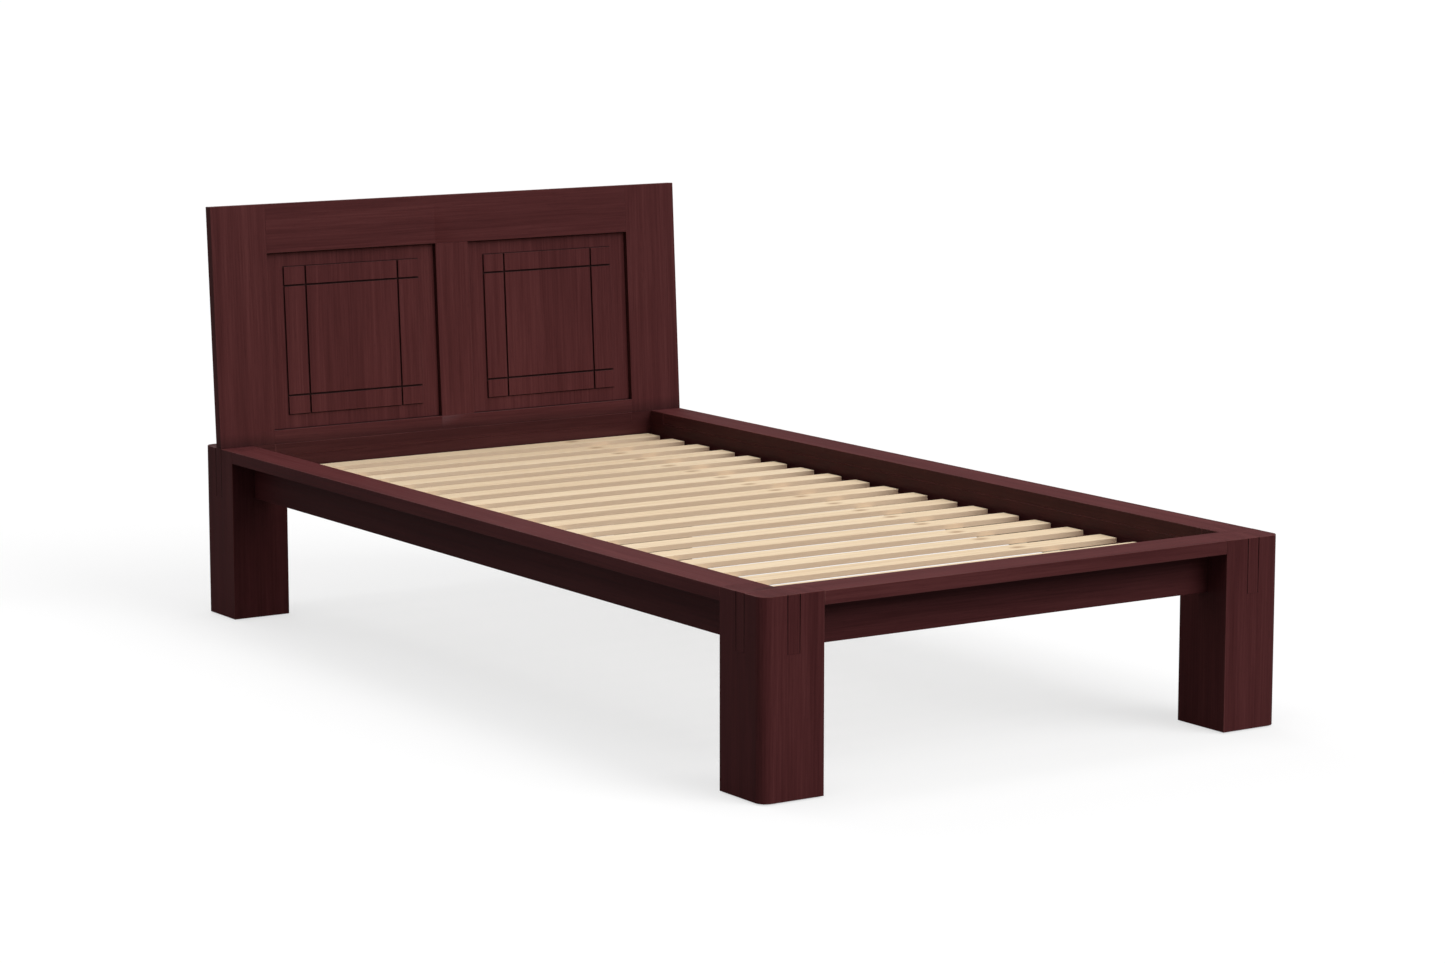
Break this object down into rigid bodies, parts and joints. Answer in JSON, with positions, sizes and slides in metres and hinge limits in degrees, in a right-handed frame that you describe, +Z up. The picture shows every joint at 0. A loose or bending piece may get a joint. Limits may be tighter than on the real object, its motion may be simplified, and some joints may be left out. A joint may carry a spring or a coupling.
{
  "type": "bed frame",
  "caption": "Low single bed in dark stained wood: block legs, slim rails over set-back aprons, a leaning panelled headboard and loose pine slats.",
  "frame": {"origin": "on the floor, under the middle of the bed's outline", "axes": "+Z up, +Y towards the head end, +X towards the right as seen from the foot"},
  "size_m": [1.184, 2.175, 0.893],
  "materials": {
    "stained_wood": "dark red-brown stain under a satin clear coat, open grain",
    "pine": "planed, untreated pine with small knots",
    "webbing": "natural woven polyester-cotton tape",
    "felt": "pressed wool felt",
    "zinc_steel": "zinc-plated"
  },
  "bodies": {
    "frame": {"leg_foot_left": "stained_wood", "felt_pad_foot_left": "felt", "apron_bolt_foot_left": "zinc_steel", "leg_foot_right": "stained_wood", "felt_pad_foot_right": "felt", "apron_bolt_foot_right": "zinc_steel", "leg_head_left": "stained_wood", "felt_pad_head_left": "felt", "apron_bolt_head_left": "zinc_steel", "leg_head_right": "stained_wood", "felt_pad_head_right": "felt", "apron_bolt_head_right": "zinc_steel", "side_apron_left": "stained_wood", "side_rail_left": "stained_wood", "slat_ledge_left": "stained_wood", "headboard_stile_left": "stained_wood", "headboard_panel_left": "stained_wood", "headboard_stud_left_outer": "zinc_steel", "headboard_stud_left_inner": "zinc_steel", "side_apron_right": "stained_wood", "side_rail_right": "stained_wood", "slat_ledge_right": "stained_wood", "headboard_stile_right": "stained_wood", "headboard_panel_right": "stained_wood", "headboard_stud_right_outer": "zinc_steel", "headboard_stud_right_inner": "zinc_steel", "end_apron_foot": "stained_wood", "end_rail_foot": "stained_wood", "end_apron_head": "stained_wood", "end_rail_head": "stained_wood", "headboard_top_rail": "stained_wood", "headboard_bottom_rail": "stained_wood", "headboard_muntin": "stained_wood"},
    "slat_base": {"slat_strap_left": "webbing", "slat_strap_right": "webbing", "slat_01": "pine", "slat_02": "pine", "slat_03": "pine", "slat_04": "pine", "slat_05": "pine", "slat_06": "pine", "slat_07": "pine", "slat_08": "pine", "slat_09": "pine", "slat_10": "pine", "slat_11": "pine", "slat_12": "pine", "slat_13": "pine", "slat_14": "pine", "slat_15": "pine", "slat_16": "pine", "slat_17": "pine", "slat_18": "pine", "slat_19": "pine"}
  },
  "joints": [
    {"name": "slat_base_lift", "type": "slide", "parent": "frame", "child": "slat_base", "axis": [0, 0, 1], "range_m": [0, 0.25]}
  ]
}
